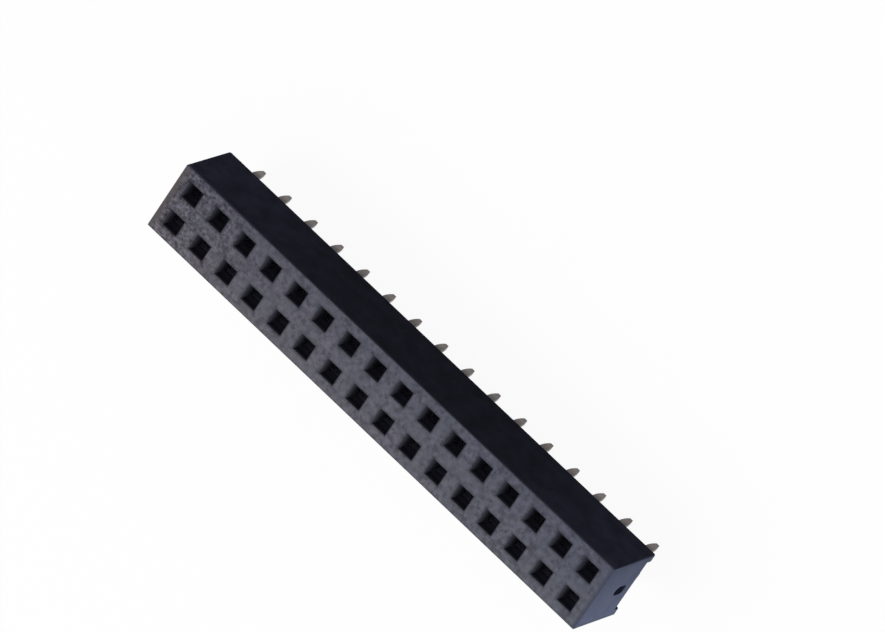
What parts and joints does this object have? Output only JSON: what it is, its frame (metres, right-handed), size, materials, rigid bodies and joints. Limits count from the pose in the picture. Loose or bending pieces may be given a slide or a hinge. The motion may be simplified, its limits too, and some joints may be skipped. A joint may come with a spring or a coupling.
{
  "type": "female pin header strip",
  "caption": "Straight dual-row female pin header with a black moulded housing, square sockets, folded spring contacts and solder tails.",
  "frame": {"origin": "middle of the plane on which the two standoff rails rest, which is the upper face of the board", "axes": "+X along the strip towards the end with the gate mark, +Y across the two rows, +Z towards the mating face, tails down"},
  "size_m": [0.0324, 0.0044, 0.0072],
  "materials": {
    "housing": "finely mottled black thermoplastic, smooth on the long sides",
    "contact": "satin, thinly gold-plated copper alloy sheet with bright cut edges"
  },
  "bodies": {
    "root": {"housing": "housing", "contact_a01": "contact", "contact_a02": "contact", "contact_a03": "contact", "contact_a04": "contact", "contact_a05": "contact", "contact_a06": "contact", "contact_a07": "contact", "contact_a08": "contact", "contact_a09": "contact", "contact_a10": "contact", "contact_a11": "contact", "contact_a12": "contact", "contact_a13": "contact", "contact_a14": "contact", "contact_a15": "contact", "contact_a16": "contact", "contact_b01": "contact", "contact_b02": "contact", "contact_b03": "contact", "contact_b04": "contact", "contact_b05": "contact", "contact_b06": "contact", "contact_b07": "contact", "contact_b08": "contact", "contact_b09": "contact", "contact_b10": "contact", "contact_b11": "contact", "contact_b12": "contact", "contact_b13": "contact", "contact_b14": "contact", "contact_b15": "contact", "contact_b16": "contact"}
  },
  "joints": []
}
